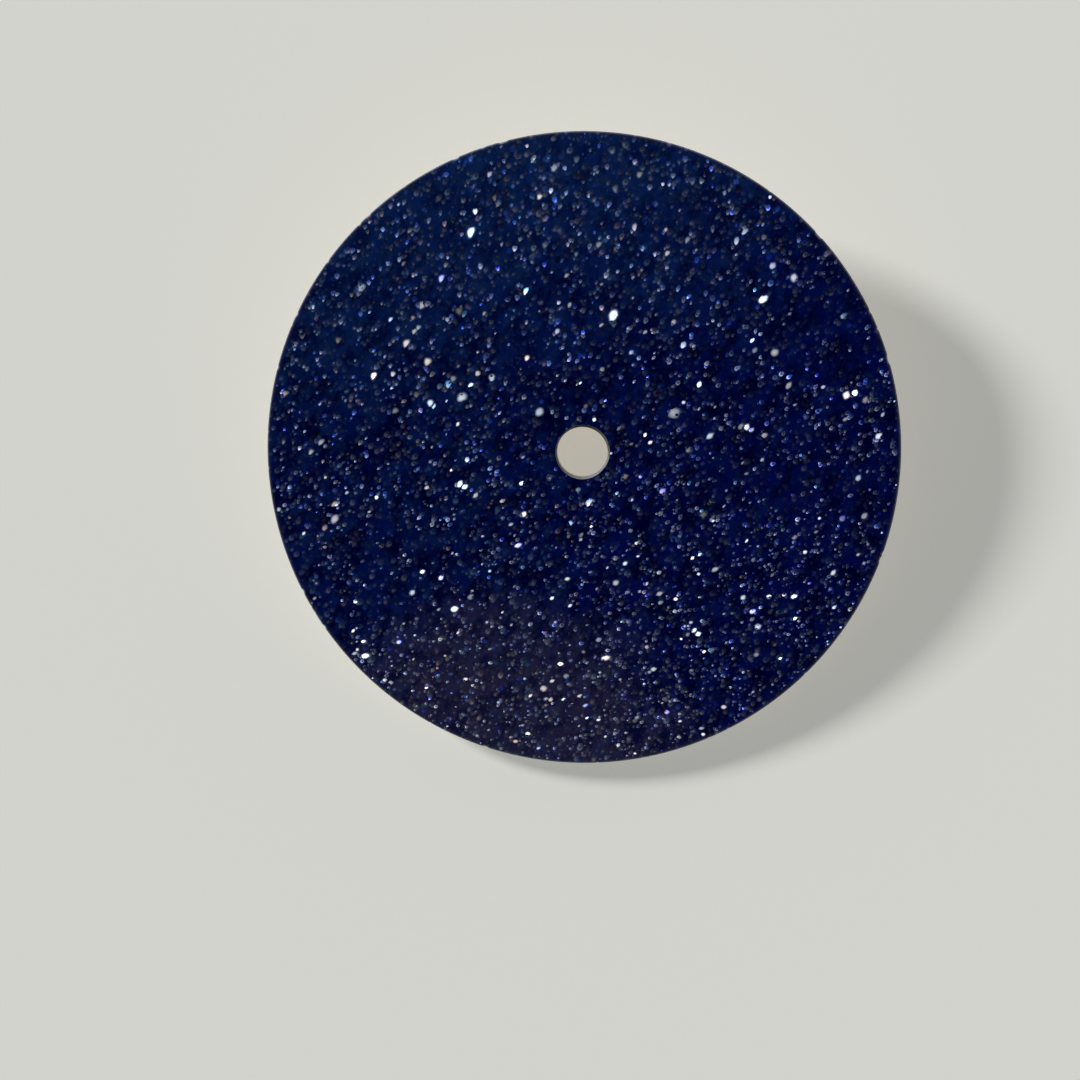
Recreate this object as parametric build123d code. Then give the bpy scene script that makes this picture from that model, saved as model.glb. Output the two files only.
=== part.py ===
from build123d import *
import math
import os

# A round watch dial: a polished aventurine glass disc bonded to a brass plate that
# carries two soldered feet. All sizes are in millimetres.
# The origin is the centre of the hole at the plate's underside, which is the face that
# sits on the movement. +Z points out of the polished face and +X runs along the line
# through both feet.

# The hole for the hour wheel's pipe, drilled through glass and brass together
centre_hole_diameter = 2.30

# Glass disc
dial_diameter = 28.5
glass_thickness = 0.50
rim_bevel = 0.06
hole_bevel = 0.04
glass_back_bevel = 0.03

# Adhesive between glass and brass
bond_thickness = 0.03
bond_edge_gap = 0.12

# Brass plate
plate_thickness = 0.40
plate_rim_inset = 0.05
plate_edge_round = 0.06
plate_hole_bevel = 0.03

# Feet, each in a round seat milled into the plate's underside
foot_edge_inset = 1.35
foot_line_offset = 1.12
foot_diameter = 0.80
foot_length = 2.30
foot_tip_bevel = 0.10
foot_head_diameter = 1.40
foot_head_thickness = 0.10
foot_neck_round = 0.05
seat_depth = 0.12
seat_clearance = 0.10

# Solder round each foot
solder_rise = 0.26
solder_sag_share = 0.55

# Levels and radii that follow from the sizes above
dial_radius = dial_diameter / 2
hole_radius = centre_hole_diameter / 2
plate_radius = dial_radius - plate_rim_inset
bond_level = plate_thickness
glass_level = bond_level + bond_thickness
foot_radius = foot_diameter / 2
foot_head_radius = foot_head_diameter / 2
seat_radius = foot_head_radius + seat_clearance
foot_circle_radius = dial_radius - foot_edge_inset
foot_reach = math.sqrt(foot_circle_radius**2 - foot_line_offset**2)

# How far every cutter runs past what it cuts
overrun = 0.20


def foot_places():
    """The two points of the plate's underside where the feet stand, left then right."""
    return [Location((side * foot_reach, foot_line_offset, 0)) for side in (-1, 1)]


def washer(outer_radius, inner_radius, level, thickness):
    """A flat round blank with a centre hole, its lower face at the given level."""
    face = Plane.XY.offset(level) * (Circle(outer_radius) - Circle(inner_radius))
    return extrude(face, thickness)


def round_edges(blank, top):
    """The circular edges of a blank's top or bottom face, the hole's first."""
    level = blank.edges().filter_by(GeomType.CIRCLE).group_by(Axis.Z)
    return level[-1 if top else 0].sort_by(SortBy.RADIUS)


def revolved(outline):
    """The solid that a closed outline in the XZ plane sweeps about the Z axis."""
    return revolve(make_face(outline), Axis.Z)


def aventurine_disc():
    """The glass, with polished bevels at the face and finer ones at the glued back."""
    disc = washer(dial_radius, hole_radius, glass_level, glass_thickness)
    disc = chamfer(round_edges(disc, top=True)[-1], rim_bevel)
    disc = chamfer(round_edges(disc, top=True)[0], hole_bevel)
    return chamfer(round_edges(disc, top=False), glass_back_bevel)


def bond_film():
    """The adhesive, kept back from both edges so that none squeezes out."""
    return washer(
        plate_radius - bond_edge_gap,
        hole_radius + bond_edge_gap,
        bond_level,
        bond_thickness,
    )


def foot_seat(place):
    """The cutter for one foot's round seat."""
    cutter = Plane.XY.offset(-overrun) * Circle(seat_radius)
    return place * extrude(cutter, seat_depth + overrun)


def base_plate():
    """The stamped plate, rounded where the punch entered, with a seat for each foot."""
    plate = washer(plate_radius, hole_radius, 0, plate_thickness)
    plate = fillet(round_edges(plate, top=False)[-1], plate_edge_round)
    plate = chamfer(round_edges(plate, top=False)[0], plate_hole_bevel)
    for place in foot_places():
        plate -= foot_seat(place)
    return plate


def foot_blank():
    """One turned foot on the Z axis: flanged head in the seat, shank, bevelled tip."""
    neck = seat_depth - foot_head_thickness
    corner = (foot_radius + foot_neck_round, neck)
    neck_end = (foot_radius, neck - foot_neck_round)
    head = Plane.XZ * Polyline(
        corner,
        (foot_head_radius, neck),
        (foot_head_radius, seat_depth),
        (0, seat_depth),
        (0, -foot_length),
        (foot_radius - foot_tip_bevel, -foot_length),
        (foot_radius, foot_tip_bevel - foot_length),
        neck_end,
    )
    neck_curve = Plane.XZ * RadiusArc(neck_end, corner, foot_neck_round)
    return revolved([head, neck_curve])


def solder_blank():
    """The solder round one foot: it fills the seat and climbs the shank in a hollow curve."""
    low = (foot_radius, -solder_rise)
    high = (seat_radius, 0)
    walls = Plane.XZ * Polyline(high, (seat_radius, seat_depth), (0, seat_depth), (0, -solder_rise), low)
    chord = math.dist(low, high)
    middle = ((foot_radius + seat_radius) / 2, -solder_rise / 2)
    sag = solder_sag_share * math.dist(middle, (foot_radius, 0)) / 2
    normal = (-solder_rise / chord, (seat_radius - foot_radius) / chord)
    waist = (middle[0] + sag * normal[0], middle[1] + sag * normal[1])
    surface = Plane.XZ * ThreePointArc(low, waist, high)
    return revolved([walls, surface]) - foot_blank()


def dial_parts():
    """Every piece in its place, under its node name."""
    left, right = foot_places()
    return {
        "aventurine_disc": aventurine_disc(),
        "bond_film": bond_film(),
        "base_plate": base_plate(),
        "dial_foot_left": left * foot_blank(),
        "dial_foot_right": right * foot_blank(),
        "solder_joint_left": left * solder_blank(),
        "solder_joint_right": right * solder_blank(),
    }


os.makedirs("parts", exist_ok=True)
for node, piece in dial_parts().items():
    export_step(piece, f"parts/{node}.step")
print(f"feet at x = +-{foot_reach:.4f}, y = {foot_line_offset:.4f}")
print(f"polished face at z = {glass_level + glass_thickness:.4f}")
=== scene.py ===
"""A blank watch dial of blue aventurine glass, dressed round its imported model.

The dial lies face up, as in the photograph: it stands on its two feet and on the lower
edge of its rim, so it is tilted a little on the pale floor. Lengths are in metres in the
dial's own frame: +Z leaves the polished face and +X runs along the line of the feet.
"""

import logging
import math
import random
from dataclasses import dataclass
from enum import Enum, IntEnum
from typing import Any, Iterable, Sequence

import bpy
from mathutils import Matrix, Vector


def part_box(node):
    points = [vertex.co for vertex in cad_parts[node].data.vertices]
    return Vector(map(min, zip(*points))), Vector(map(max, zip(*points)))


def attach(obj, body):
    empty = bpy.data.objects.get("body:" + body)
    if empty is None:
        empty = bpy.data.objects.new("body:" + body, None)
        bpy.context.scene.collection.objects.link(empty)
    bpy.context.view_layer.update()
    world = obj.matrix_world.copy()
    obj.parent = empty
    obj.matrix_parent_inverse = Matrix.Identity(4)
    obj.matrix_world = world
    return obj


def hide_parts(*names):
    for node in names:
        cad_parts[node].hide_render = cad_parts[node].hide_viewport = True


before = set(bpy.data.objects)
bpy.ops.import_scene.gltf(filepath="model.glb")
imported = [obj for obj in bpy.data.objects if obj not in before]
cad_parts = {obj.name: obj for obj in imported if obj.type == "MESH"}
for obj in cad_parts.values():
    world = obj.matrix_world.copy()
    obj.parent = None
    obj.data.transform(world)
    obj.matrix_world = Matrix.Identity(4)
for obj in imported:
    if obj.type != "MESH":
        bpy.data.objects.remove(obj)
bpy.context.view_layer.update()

MM = 0.001
BODY = "root"
LOG = logging.getLogger("watch_dial")

Plug = Any
Colour = tuple[float, float, float]
Triple = tuple[float, float, float]
Pair = tuple[float, float]


class Node(Enum):
    """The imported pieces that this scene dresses."""

    GLASS = "aventurine_disc"
    FILM = "bond_film"
    PLATE = "base_plate"
    FOOT_LEFT = "dial_foot_left"
    FOOT_RIGHT = "dial_foot_right"
    SOLDER_LEFT = "solder_joint_left"
    SOLDER_RIGHT = "solder_joint_right"


class Slot(Enum):
    """The record's material slots, which also name the materials."""

    GLASS = "aventurine_glass"
    ADHESIVE = "adhesive"
    BRASS = "plate_brass"
    COPPER = "foot_copper"
    SOLDER = "solder"


# Node trees


class Value:
    """A number that varies from point to point, with arithmetic that adds Math nodes."""

    def __init__(self, tree: "Tree", plug: Plug) -> None:
        """Keeps the tree that the value lives in and the socket that gives it."""
        self.tree = tree
        self.plug = plug

    def __add__(self, other: "Value | float") -> "Value":
        """This value plus another."""
        return self.tree.maths("ADD", self, other)

    __radd__ = __add__

    def __sub__(self, other: "Value | float") -> "Value":
        """This value minus another."""
        return self.tree.maths("SUBTRACT", self, other)

    def __rsub__(self, other: float) -> "Value":
        """A number minus this value."""
        return self.tree.maths("SUBTRACT", other, self)

    def __mul__(self, other: "Value | float") -> "Value":
        """This value times another."""
        return self.tree.maths("MULTIPLY", self, other)

    __rmul__ = __mul__

    def __truediv__(self, other: "Value | float") -> "Value":
        """This value over another."""
        return self.tree.maths("DIVIDE", self, other)

    def __rtruediv__(self, other: float) -> "Value":
        """A number over this value."""
        return self.tree.maths("DIVIDE", other, self)

    def __pow__(self, other: "Value | float") -> "Value":
        """This value to a power."""
        return self.tree.maths("POWER", self, other)

    def __lt__(self, other: "Value | float") -> "Value":
        """1 where this value is the smaller, else 0."""
        return self.tree.maths("LESS_THAN", self, other)

    def __gt__(self, other: "Value | float") -> "Value":
        """1 where this value is the larger, else 0."""
        return self.tree.maths("GREATER_THAN", self, other)

    def least(self, other: "Value | float") -> "Value":
        """The smaller of this value and another."""
        return self.tree.maths("MINIMUM", self, other)

    def most(self, other: "Value | float") -> "Value":
        """The larger of this value and another."""
        return self.tree.maths("MAXIMUM", self, other)

    def held(self) -> "Value":
        """This value held between 0 and 1."""
        return self.tree.maths("ADD", self, 0.0, clamp=True)

    def swung(self, amount: float) -> "Value":
        """How far this value lies from a half, times an amount."""
        return (self - 0.5) * amount

    def from_start(self, start: "Value | float", slope: "Value | float") -> "Value":
        """A start, plus a slope for each unit of this value."""
        return self.tree.maths("MULTIPLY_ADD", self, slope, start)

    def eased(self, low: float, high: float) -> "Value":
        """A smooth step of this value.

        Args:
            low: Where the step starts, at 0.
            high: Where it ends, at 1. It may be the lower number, for a falling step.

        Returns:
            The step as a value from 0 to 1.
        """
        sockets = {"Value": self, "From Min": low, "From Max": high}
        smooth = {"interpolation_type": "SMOOTHSTEP"}
        return Value(self.tree, self.tree.node("ShaderNodeMapRange", smooth, sockets).outputs[0])


class Tree:
    """A node tree under construction, with one method that makes any node."""

    def __init__(self, tree: Any) -> None:
        """Starts on a tree and empties it.

        Args:
            tree: Blender's own node tree.
        """
        self.nodes = tree.nodes
        self.links = tree.links
        self.nodes.clear()

    def node(
        self,
        kind: str,
        settings: dict[str, Any] | None = None,
        sockets: dict[str | int, Any] | None = None,
    ) -> Any:
        """Makes a node, sets its settings and then its sockets.

        Args:
            kind: The node's type.
            settings: Its properties by name, set first.
            sockets: Its inputs by name or place: a number, a tuple, a Value or a socket.

        Returns:
            The node.
        """
        made = self.nodes.new(kind)
        for name, setting in (settings or {}).items():
            setattr(made, name, setting)
        for key, given in (sockets or {}).items():
            plug = given.plug if isinstance(given, Value) else given
            if isinstance(plug, bpy.types.NodeSocket):
                self.links.new(plug, made.inputs[key])
            else:
                made.inputs[key].default_value = plug
        return made

    def maths(self, operation: str, *operands: Value | float, clamp: bool = False) -> Value:
        """Adds one Math node.

        Args:
            operation: The node's operation.
            operands: Its operands in order.
            clamp: Whether the result is held between 0 and 1.

        Returns:
            The result as a value.
        """
        settings = {"operation": operation, "use_clamp": clamp}
        made = self.node("ShaderNodeMath", settings, dict(enumerate(operands)))
        return Value(self, made.outputs[0])

    def vectors(self, operation: str, *operands: Any, output: int | str = 0) -> Plug:
        """Adds one Vector Math node.

        Args:
            operation: The node's operation.
            operands: Its operands in order.
            output: Which of its outputs is wanted.

        Returns:
            The result's socket.
        """
        settings = {"operation": operation}
        made = self.node("ShaderNodeVectorMath", settings, dict(enumerate(operands)))
        return made.outputs[output]

    def parts(self, vector: Plug) -> tuple[Value, Value, Value]:
        """The three numbers of a colour or vector."""
        made = self.node("ShaderNodeSeparateXYZ", None, {0: vector})
        return tuple(Value(self, plug) for plug in made.outputs)

    def joined(self, *numbers: Value | float) -> Plug:
        """The vector of three numbers."""
        return self.node("ShaderNodeCombineXYZ", None, dict(enumerate(numbers))).outputs[0]

    def blended(self, share: Value | Plug, first: Plug, second: Plug) -> Plug:
        """Two shaders, of which the second shows by a share."""
        return self.node("ShaderNodeMixShader", None, {0: share, 1: first, 2: second}).outputs[0]


@dataclass(frozen=True)
class Grain:
    """A soft noise on a surface.

    It has the size of its lumps in metres, how many finer layers it holds and how strong
    these are, and what each axis is multiplied by after a turn about Z in degrees.
    """

    size: float
    detail: float = 2.0
    roughness: float = 0.5
    scale: Triple = (1.0, 1.0, 1.0)
    turn: float = 0.0


class Surface(Tree):
    """The tree of one material."""

    def __init__(self, name: str) -> None:
        """Starts an empty material.

        Args:
            name: The material's name.
        """
        self.material = bpy.data.materials.new(name)
        self.material.use_nodes = True
        super().__init__(self.material.node_tree)

    def place(self, scale: Triple = (1.0, 1.0, 1.0), turn: float = 0.0) -> Plug:
        """The surface's own coordinates, turned about Z and stretched.

        Args:
            scale: What each axis is multiplied by, after the turn.
            turn: The turn about Z, in degrees.

        Returns:
            The vector socket.
        """
        point = self.node("ShaderNodeTexCoord").outputs["Object"]
        if turn:
            spin = {"Vector": point, "Angle": math.radians(turn)}
            made = self.node("ShaderNodeVectorRotate", {"rotation_type": "Z_AXIS"}, spin)
            point = made.outputs[0]
        return self.vectors("MULTIPLY", point, scale)

    def plan(self, unit: float) -> tuple[Value, Value]:
        """How far to the right and how far up each point lies, in a unit of length."""
        across, along, _ = self.parts(self.place((1 / unit,) * 3))
        return across, along

    def noise(self, grain: Grain) -> Value:
        """Soft noise from 0 to 1.

        Args:
            grain: Its lumps, layers and direction.

        Returns:
            The noise as a value.
        """
        sockets = {
            "Vector": self.place(grain.scale, grain.turn),
            "Scale": 1 / grain.size,
            "Detail": grain.detail,
            "Roughness": grain.roughness,
        }
        return Value(self, self.node("ShaderNodeTexNoise", None, sockets).outputs["Fac"])

    def cells(self, where: Plug, size: float) -> tuple[Value, Value, Plug]:
        """Random cells.

        Args:
            where: The coordinates that they follow.
            size: The size of a cell, in metres.

        Returns:
            The distance from the nearest cell's centre and the part of it along Y, both
            as shares of a cell, and the cell's random colour.
        """
        made = self.node("ShaderNodeTexVoronoi", None, {"Vector": where, "Scale": 1 / size})
        _, along, _ = self.parts(self.vectors("SUBTRACT", where, made.outputs["Position"]))
        return Value(self, made.outputs["Distance"]), along * (1 / size), made.outputs["Color"]

    def mix(self, share: Value | float, first: Any, second: Any, blend: str = "MIX") -> Plug:
        """Mixes two colours.

        Args:
            share: How much of the second colour shows.
            first: The first colour, as a tuple or a socket.
            second: The second colour.
            blend: The Mix node's blend type.

        Returns:
            The mixed colour's socket.
        """
        sockets = {0: share, 6: whole(first), 7: whole(second)}
        settings = {"data_type": "RGBA", "blend_type": blend}
        return self.node("ShaderNodeMix", settings, sockets).outputs[2]

    def glow(self, under: Plug, tint: Plug, light: Value) -> Plug:
        """A colour with painted light of a tint added to it."""
        grey = self.joined(light, light, light)
        return self.mix(1.0, under, self.mix(1.0, tint, grey, "MULTIPLY"), "ADD")

    def picked(self, pick: Value, stops: Sequence[tuple[float, Colour]]) -> Plug:
        """One of several colours.

        Args:
            pick: Which one, from 0 to 1.
            stops: The number from which each colour is used, and the colour.

        Returns:
            The colour's socket.
        """
        made = self.node("ShaderNodeValToRGB")
        made.color_ramp.interpolation = "CONSTANT"
        elements = made.color_ramp.elements
        for _ in stops[len(elements):]:
            elements.new(0.5)
        for element, (start, colour) in zip(elements, stops, strict=True):
            element.position = start
            element.color = whole(colour)
        self.links.new(pick.plug, made.inputs[0])
        return made.outputs[0]

    def carried(self, name: str, output: str = "Fac") -> Plug:
        """What each point of the mesh carries under a name."""
        return self.node("ShaderNodeAttribute", {"attribute_name": name}).outputs[output]

    def leant(self, lean: Plug, amount: Value | float) -> Plug:
        """The surface's normal, leant over by a vector.

        Args:
            lean: The vector, against the normal's length of 1.
            amount: How much of it is used.

        Returns:
            The normal's socket.
        """
        far = {0: lean, "Scale": amount}
        offset = self.node("ShaderNodeVectorMath", {"operation": "SCALE"}, far).outputs[0]
        flat = self.node("ShaderNodeNewGeometry").outputs["Normal"]
        return self.vectors("NORMALIZE", self.vectors("ADD", flat, offset))

    def bump(self, height: Value, depth: float, strength: float = 1.0) -> Plug:
        """A bumped normal.

        Args:
            height: The height, from 0 to 1.
            depth: How deep a height of 1 is, in metres.
            strength: How much of the bump shows.

        Returns:
            The normal's socket.
        """
        sockets = {"Height": height, "Distance": depth, "Strength": strength}
        return self.node("ShaderNodeBump", None, sockets).outputs[0]

    def finish(self, **sockets: Any) -> bpy.types.Material:
        """Closes the tree with one Principled shader.

        Args:
            sockets: Its inputs, with underscores for the spaces in their names.

        Returns:
            The material.
        """
        named = {name.replace("_", " "): given for name, given in sockets.items()}
        shader = self.node("ShaderNodeBsdfPrincipled", None, named)
        self.node("ShaderNodeOutputMaterial", None, {"Surface": shader.outputs[0]})
        return self.material


def whole(colour: Any) -> Any:
    """A colour with its alpha of 1 added where it is a tuple of three."""
    return (*colour, 1.0) if isinstance(colour, tuple) and len(colour) == 3 else colour


def distance(first: Value, second: Value, weight: float = 1.0) -> Value:
    """How far off a point is, from its places on two axes, the first one's square weighted."""
    return (first * first * weight + second * second) ** 0.5


# Finishes


NONE: Colour = (0.0, 0.0, 0.0)
# The vivid blues among the flecks' tints start at the first number and end at the second
FIRST_VIVID, AFTER_VIVID, VIVID_STEP = 0.825, 0.960, 0.001
FLECK_TINTS: tuple[tuple[float, Colour], ...] = (
    (0.0, (0.59, 0.77, 0.98)),
    (0.22, (0.95, 0.88, 0.80)),
    (0.40, (0.48, 0.68, 0.90)),
    (0.54, (0.85, 0.95, 0.97)),
    (0.660, (0.98, 0.79, 0.60)),
    (0.722, (0.70, 0.86, 0.56)),
    (0.740, (0.44, 0.83, 0.84)),
    (0.775, (0.70, 0.70, 0.98)),
    (FIRST_VIVID, (0.12, 0.42, 1.0)),
    (0.843, (0.04, 0.18, 1.0)),
    (0.890, (0.10, 0.54, 1.0)),
    (0.900, (0.02, 0.06, 1.0)),
    (0.953, (0.08, 0.03, 1.0)),
    (AFTER_VIVID, (1.0, 0.66, 0.50)),
)
POLISH = {"Specular_IOR_Level": 0.0, "Coat_Roughness": 0.03, "Coat_IOR": 1.5}
GLASS_SLANT = 38.0


@dataclass(frozen=True)
class Drift:
    """A strength in the dial's middle, and what it gains towards three of its sides."""

    middle: float
    top: float = 0.0
    bottom: float = 0.0
    right: float = 0.0

    def over(self, top: Value, bottom: Value, right: Value) -> Value:
        """The strength at each point.

        Args:
            top: How much the point belongs to the dial's top, from 0 to 1.
            bottom: How much it belongs to the bottom.
            right: How far to the right it lies, from -1 to 1.

        Returns:
            The strength as a value.
        """
        return self.middle + right * self.right + top * self.top + bottom * self.bottom


@dataclass(frozen=True)
class FleckLayer:
    """One layer of flecks that lie in the glass, cut wherever a surface meets it."""

    cell: float
    reach: float
    share: float
    dimmest: float
    brightest: float


@dataclass(frozen=True)
class DeepGlass:
    """The colour of the dark blue glass: clouds, faint streaks and flecks in its depth, with
    painted reflections of teal at the top and plum at the bottom, and a painted highlight at the
    rim.

    Places on the dial are shares of its radius, to the right and upwards.
    """

    dial_radius: float
    # Teal and plum are painted reflections, rim is a painted highlight and mist is partly a
    # painted sheen
    deep: Colour = (0.0012, 0.0100, 0.118)
    rich: Colour = (0.0005, 0.0044, 0.122)
    teal_reflection: Colour = (0.0070, 0.0400, 0.190)
    plum_reflection: Colour = (0.0470, 0.0385, 0.098)
    mist_and_sheen: Colour = (0.0100, 0.0375, 0.1500)
    shade: Colour = (0.0002, 0.0016, 0.047)
    # rim is a painted highlight, a lighter band just inside the edge
    rim: Colour = (0.055, 0.060, 0.110)
    faint: Colour = (0.16, 0.36, 1.0)

    # The noises that shape the colours, from the largest to the finest
    cloud: Grain = Grain(7 * MM, detail=3)
    ragged: Grain = Grain(2.2 * MM, detail=4, scale=(1, 0.8, 1), turn=GLASS_SLANT)
    haze: Grain = Grain(0.75 * MM, detail=5, roughness=0.6)
    streak: Grain = Grain(0.58 * MM, detail=4, scale=(1, 0.62, 1), turn=GLASS_SLANT)
    grain: Grain = Grain(0.13 * MM, detail=2, scale=(1, 0.5, 1), turn=GLASS_SLANT)

    # Where each colour lies, how far its noise pushes it about and how much of it shows
    rich_start: float = 0.25
    rich_swing: float = 2.2
    rich_band: Pair = (-0.35, 0.65)
    rich_share: float = 0.80
    teal_rise: float = 0.90
    teal_leftward: float = 0.20
    teal_swing: float = 0.90
    teal_band: Pair = (0.05, 1.0)
    teal_share: float = 0.75
    plum_centre: Pair = (-0.29, -0.95)
    plum_reach: Pair = (0.64, 0.46)
    plum_swing: float = 1.7
    plum_band: Pair = (-0.40, 0.75)
    plum_share: float = 0.80
    haze_band: Pair = (0.45, 0.66)
    haze_and_sheen_share: Drift = Drift(0.33, top=0.66, right=-0.13)
    shade_start: float = 3.37
    streak_depth: float = 4.4
    grain_depth: float = 1.4
    shade_share: Drift = Drift(1.0, top=-0.45, bottom=-0.30)
    rim_highlight_band: Pair = (0.978, 1.0)
    rim_highlight_share: float = 0.55

    # The flecks, each a dim middle with a brighter ring, a painted highlight that is strongest
    # on one side
    layers: tuple[FleckLayer, ...] = (
        FleckLayer(cell=0.30 * MM, reach=0.55, share=0.60, dimmest=0.020, brightest=0.26),
        FleckLayer(cell=0.21 * MM, reach=0.55, share=0.50, dimmest=0.014, brightest=0.18),
        FleckLayer(cell=0.12 * MM, reach=0.50, share=0.45, dimmest=0.005, brightest=0.07),
    )
    fleck_scale: Triple = (1, 0.70, 1)
    fleck_core: float = 0.35
    fleck_shadow: float = 0.15
    fleck_rarity: float = 3.0
    inner_light: float = 0.25
    ring_light: float = 1.3
    ring_band: Pair = (0.1, 0.6)
    ring_side: Pair = (0.2, -0.3)
    high_band: Pair = (0.30, 0.80)
    low_band: Pair = (-0.40, -0.80)
    fleck_light: Drift = Drift(0.88, top=0.55, bottom=0.90, right=-0.36)
    faint_share: Drift = Drift(0.50, top=-0.20, bottom=-0.38)

    def clouds(self, surface: Surface) -> Plug:
        """The glass's colour without its flecks, with its painted reflections and painted rim
        highlight.

        Args:
            surface: The tree.

        Returns:
            The colour's socket.
        """
        across, along = surface.plan(self.dial_radius)
        cloud = surface.noise(self.cloud)
        rich = (across + self.rich_start + cloud.swung(self.rich_swing)).eased(*self.rich_band)
        colour = surface.mix(rich * self.rich_share, self.deep, self.rich)
        # Painted reflection: teal towards the top and a little to the left, with a cloudy edge
        top = along * self.teal_rise - across * self.teal_leftward + cloud.swung(self.teal_swing)
        top = top.eased(*self.teal_band)
        colour = surface.mix(top * self.teal_share, colour, self.teal_reflection)
        # Painted reflection: plum at the bottom, a little to the left, with a ragged edge
        side, down = (
            (place - centre) * (1 / reach)
            for place, centre, reach in zip((across, along), self.plum_centre, self.plum_reach)
        )
        ragged = surface.noise(self.ragged).swung(self.plum_swing)
        low = (1.0 - side * side - down * down + ragged).eased(*self.plum_band)
        colour = surface.mix(low * self.plum_share, colour, self.plum_reflection)
        # The glass's own haze, stronger towards the top where it adds to the painted reflection,
        # and weaker to the right
        haze = surface.noise(self.haze).eased(*self.haze_band)
        colour = surface.mix(haze * self.haze_and_sheen_share.over(top, low, across), colour, self.mist_and_sheen)
        light = surface.noise(self.streak) * self.streak_depth
        dark = (self.shade_start - light - surface.noise(self.grain) * self.grain_depth).held()
        colour = surface.mix(dark * self.shade_share.over(top, low, across), colour, self.shade)
        # Painted highlight: a lighter band just inside the rim, where the edge is lit
        rim = distance(across, along).eased(*self.rim_highlight_band)
        return surface.mix(rim * rim * self.rim_highlight_share, colour, self.rim)

    def flecks(self, surface: Surface, under: Plug, layer: FleckLayer) -> tuple[Plug, Value]:
        """Lays one layer of flecks over a colour.

        Args:
            surface: The tree.
            under: The colour under the flecks.
            layer: The layer's sizes.

        Returns:
            The colour with the flecks on it, and where they are, from 0 to 1.
        """
        where = surface.place(self.fleck_scale, GLASS_SLANT)
        away, along, random_colour = surface.cells(where, layer.cell)
        first, second, third = surface.parts(random_colour)
        there = (first < layer.share) * away.eased(layer.reach, layer.reach * self.fleck_core)
        ring = away.eased(*(layer.reach * share for share in self.ring_band))
        # Painted highlight: the ring is brighter on one side
        lit = self.inner_light + ring * along.eased(*self.ring_side) * self.ring_light
        across, up = surface.plan(self.dial_radius)
        sides = up.eased(*self.high_band), up.eased(*self.low_band), across
        # The flecks' painted glint, stronger towards the top and bottom and weaker to the right
        span = layer.brightest - layer.dimmest
        strength = layer.dimmest + span * second**self.fleck_rarity
        light = strength * there * lit * self.fleck_light.over(*sides)
        tint = surface.picked(third, FLECK_TINTS)
        tint = surface.mix(self.faint_share.over(*sides), tint, self.faint)
        dimmed = surface.mix(there * self.fleck_shadow, under, NONE)
        return surface.glow(dimmed, tint, light), there

    def colour(self, surface: Surface) -> tuple[Plug, Value]:
        """The glass's whole colour.

        Args:
            surface: The tree.

        Returns:
            The colour, and where its flecks are, from 0 to 1.
        """
        colour = self.clouds(surface)
        covered: Value | None = None
        for layer in self.layers:
            colour, there = self.flecks(surface, colour, layer)
            covered = there if covered is None else covered.most(there)
        return colour, covered


@dataclass(frozen=True)
class AventurineFinish:
    """Polished aventurine glass, frosted where it is ground or chipped, with painted shade on
    the hole's bevel towards the upper right.
    """

    glass: DeepGlass
    ground: Colour = (0.40, 0.41, 0.48)
    # Painted shade for the hole's bevel at its upper right
    bevel_shade: Colour = (0.24, 0.22, 0.14)
    frost: Grain = Grain(0.03 * MM, detail=2)
    frost_depth: float = 0.006 * MM
    least_frost: float = 0.4
    hole_band_square_mm: Pair = (4.0, 2.5)
    bevel_shade_side: Pair = (0.64, 0.77)
    bevel_shade_band: Pair = (0.2, 0.9)
    fleck_metal: float = 0.2
    roughness: float = 0.42
    ground_roughness: float = 0.2
    coat_loss: float = 0.75

    def material(self) -> bpy.types.Material:
        """Builds the finish.

        Returns:
            The material.
        """
        surface = Surface(Slot.GLASS.value)
        colour, covered = self.glass.colour(surface)
        worn = Value(surface, surface.carried("ground"))
        frost = surface.noise(self.frost)
        across, along = surface.plan(MM)
        # Painted shade: near the hole the ground bevel and wall turn olive-brown towards the
        # upper right
        round_hole = (across * across + along * along).eased(*self.hole_band_square_mm)
        towards = across * self.bevel_shade_side[0] + along * self.bevel_shade_side[1]
        bevel_shade_share = towards.eased(*self.bevel_shade_band) * round_hole
        ground = surface.mix(bevel_shade_share, self.ground, self.bevel_shade)
        frosted = worn * (self.least_frost + frost * (1.0 - self.least_frost))
        return surface.finish(
            Base_Color=surface.mix(frosted, colour, ground),
            Metallic=covered * self.fleck_metal,
            Roughness=self.roughness + worn * self.ground_roughness,
            Coat_Weight=1.0 - worn * self.coat_loss,
            Normal=surface.bump(frost * worn, self.frost_depth),
            **POLISH,
        )


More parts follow.
